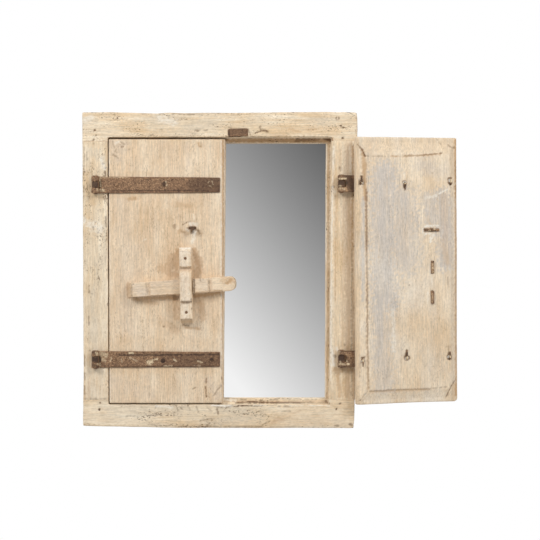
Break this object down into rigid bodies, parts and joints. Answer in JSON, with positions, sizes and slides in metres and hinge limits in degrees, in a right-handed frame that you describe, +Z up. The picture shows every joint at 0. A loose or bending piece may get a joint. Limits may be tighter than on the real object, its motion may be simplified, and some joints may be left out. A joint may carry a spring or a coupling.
{
  "type": "shuttered window mirror",
  "caption": "Small wooden window frame with a mirror behind it, closed by hinged plank shutters with iron straps and a sliding wooden bolt.",
  "frame": {"origin": "middle of the top rail's back face, on the wall", "axes": "+X along the top rail towards the open shutter, +Y into the wall, +Z up"},
  "size_m": [0.6758, 0.0826, 0.568],
  "materials": {
    "frame_wood": "reclaimed timber, limed and worn, matt",
    "shutter_wood": "plank sanded pale, matt, with fine upright grain",
    "wrought_iron": "hand-forged strap iron, brown with dry rust",
    "mirror": "flat silvered glass",
    "backing_wood": "plain plywood and battens",
    "plated_steel": "zinc plated wire"
  },
  "bodies": {
    "frame": {"top_rail": "frame_wood", "bottom_rail": "frame_wood", "left_stile": "frame_wood", "right_stile": "frame_wood", "top_rail_iron": "wrought_iron", "mirror_glass": "mirror", "backing_board": "backing_wood", "batten_top": "backing_wood", "batten_bottom": "backing_wood", "batten_left": "backing_wood", "batten_right": "backing_wood", "hanging_eye_left": "plated_steel", "hanging_eye_right": "plated_steel", "corner_nail_top_left": "wrought_iron", "corner_nail_top_right": "wrought_iron", "corner_nail_bottom_left": "wrought_iron", "corner_nail_bottom_right": "wrought_iron", "batten_top_nail_1": "plated_steel", "batten_top_nail_2": "plated_steel", "batten_bottom_nail_1": "plated_steel", "batten_bottom_nail_2": "plated_steel", "batten_left_nail_1": "plated_steel", "batten_left_nail_2": "plated_steel", "batten_right_nail_1": "plated_steel", "batten_right_nail_2": "plated_steel", "hinge_cotter_upper_left": "wrought_iron", "hinge_cotter_upper_right": "wrought_iron", "hinge_cotter_lower_left": "wrought_iron", "hinge_cotter_lower_right": "wrought_iron", "hinge_pin_upper_left": "wrought_iron", "hinge_pin_upper_right": "wrought_iron", "hinge_pin_lower_left": "wrought_iron", "hinge_pin_lower_right": "wrought_iron"},
    "left_leaf": {"left_shutter_board": "shutter_wood", "strap_upper_left": "wrought_iron", "strap_lower_left": "wrought_iron", "left_chain_staple": "wrought_iron", "strap_nail_upper_left_1": "wrought_iron", "strap_nail_upper_left_2": "wrought_iron", "strap_nail_upper_left_3": "wrought_iron", "strap_nail_lower_left_1": "wrought_iron", "strap_nail_lower_left_2": "wrought_iron", "strap_nail_lower_left_3": "wrought_iron", "bolt_keeper": "shutter_wood", "keeper_nail_upper": "wrought_iron", "keeper_nail_lower": "wrought_iron"},
    "right_leaf": {"right_shutter_board": "shutter_wood", "strap_upper_right": "wrought_iron", "strap_lower_right": "wrought_iron", "right_chain_staple": "wrought_iron", "strap_nail_upper_right_1": "wrought_iron", "strap_nail_upper_right_2": "wrought_iron", "strap_nail_upper_right_3": "wrought_iron", "strap_nail_lower_right_1": "wrought_iron", "strap_nail_lower_right_2": "wrought_iron", "strap_nail_lower_right_3": "wrought_iron", "bolt_catch": "wrought_iron"},
    "bolt": {"latch_bolt": "shutter_wood"}
  },
  "joints": [
    {"name": "left_leaf_hinge", "type": "hinge", "parent": "frame", "child": "left_leaf", "pos_m": [-0.2227, -0.0573, -0.26], "axis": [0, 0, -1], "range_deg": [0, 188]},
    {"name": "right_leaf_hinge", "type": "hinge", "parent": "frame", "child": "right_leaf", "pos_m": [0.2186, -0.0573, -0.26], "axis": [0, 0, -1], "range_deg": [0, 190]},
    {"name": "bolt_slide", "type": "slide", "parent": "left_leaf", "child": "bolt", "axis": [0.9979, 0, 0.064], "range_m": [0, 0.0497]}
  ]
}
